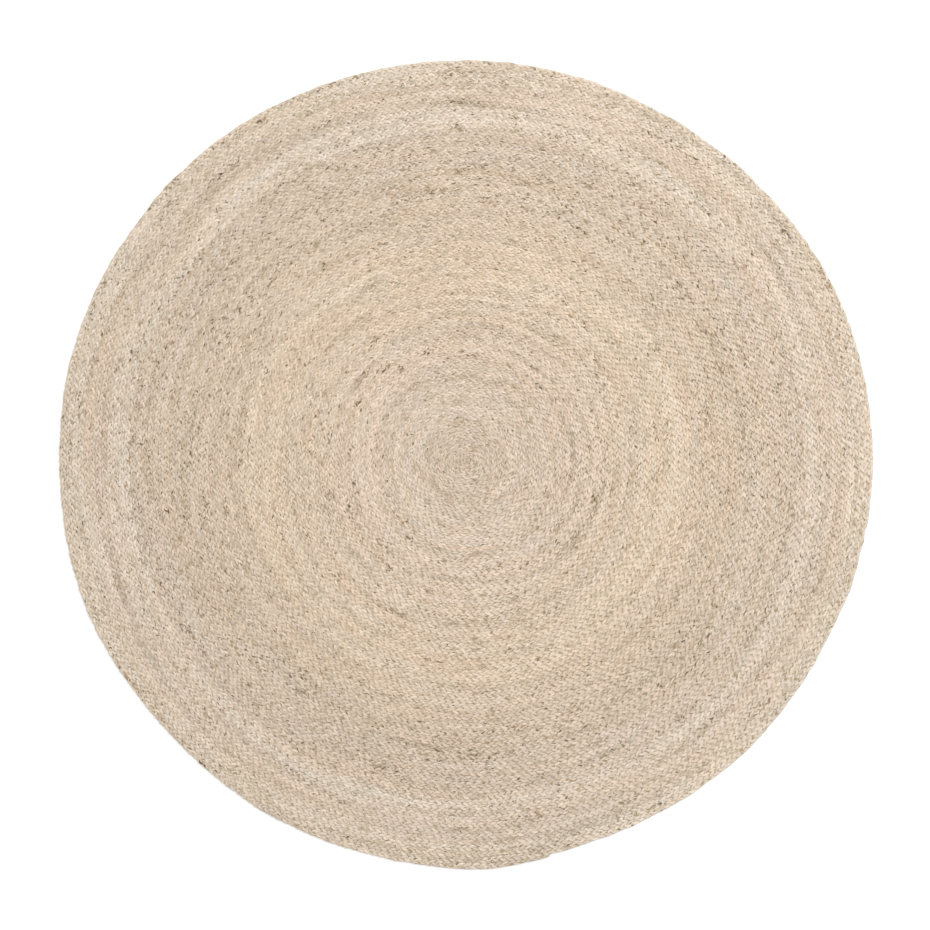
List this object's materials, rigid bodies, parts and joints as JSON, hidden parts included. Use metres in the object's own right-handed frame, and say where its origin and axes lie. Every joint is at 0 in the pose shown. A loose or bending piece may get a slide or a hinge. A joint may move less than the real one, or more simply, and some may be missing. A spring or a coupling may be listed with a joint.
{
  "type": "area rug",
  "caption": "Round flat area rug: a plaited jute braid wound in one spiral from the centre, spliced from lengths and laced edge to edge with thread.",
  "frame": {"origin": "centre of the underside, at the start of the spiral, on the floor", "axes": "+Z up out of the top face; seen from above with +X to the right and +Y up, the spiral opens counter-clockwise and its outer end lies 78 degrees below +X"},
  "size_m": [2.01, 1.9918, 0.0107],
  "materials": {
    "centre_jute": "dry matt raw jute fibre, plaited, with darker bark flecks",
    "jute_batch_01": "dry matt raw jute fibre, plaited, with darker bark flecks",
    "jute_batch_02": "dry matt raw jute fibre, plaited, with darker bark flecks",
    "jute_batch_03": "dry matt raw jute fibre, plaited, with darker bark flecks",
    "jute_batch_04": "dry matt raw jute fibre, plaited, with darker bark flecks",
    "jute_batch_05": "dry matt raw jute fibre, plaited, with darker bark flecks",
    "jute_batch_06": "dry matt raw jute fibre, plaited, with darker bark flecks",
    "jute_batch_07": "dry matt raw jute fibre, plaited, with darker bark flecks",
    "jute_batch_08": "dry matt raw jute fibre, plaited, with darker bark flecks",
    "jute_batch_09": "dry matt raw jute fibre, plaited, with darker bark flecks",
    "jute_batch_10": "dry matt raw jute fibre, plaited, with darker bark flecks",
    "jute_batch_11": "dry matt raw jute fibre, plaited, with darker bark flecks",
    "jute_batch_12": "dry matt raw jute fibre, plaited, with darker bark flecks",
    "sewing_thread": "twisted natural jute thread, matt"
  },
  "bodies": {
    "root": {"centre_start": "centre_jute", "braid_length_01": "jute_batch_01", "braid_length_02": "jute_batch_02", "braid_length_03": "jute_batch_03", "braid_length_04": "jute_batch_04", "braid_length_05": "jute_batch_05", "braid_length_06": "jute_batch_06", "braid_length_07": "jute_batch_07", "braid_length_08": "jute_batch_08", "braid_length_09": "jute_batch_09", "braid_length_10": "jute_batch_10", "braid_length_11": "jute_batch_11", "braid_length_12": "jute_batch_12", "lacing_thread_01": "sewing_thread", "lacing_thread_02": "sewing_thread", "lacing_thread_03": "sewing_thread", "lacing_thread_04": "sewing_thread", "lacing_thread_05": "sewing_thread", "lacing_thread_06": "sewing_thread", "lacing_thread_07": "sewing_thread", "lacing_thread_08": "sewing_thread", "lacing_thread_09": "sewing_thread", "lacing_thread_10": "sewing_thread", "lacing_thread_11": "sewing_thread", "lacing_thread_12": "sewing_thread", "rim_tail": "jute_batch_12", "tail_stitch_1": "sewing_thread", "tail_stitch_2": "sewing_thread", "tail_stitch_3": "sewing_thread", "tail_stitch_4": "sewing_thread"}
  },
  "joints": []
}
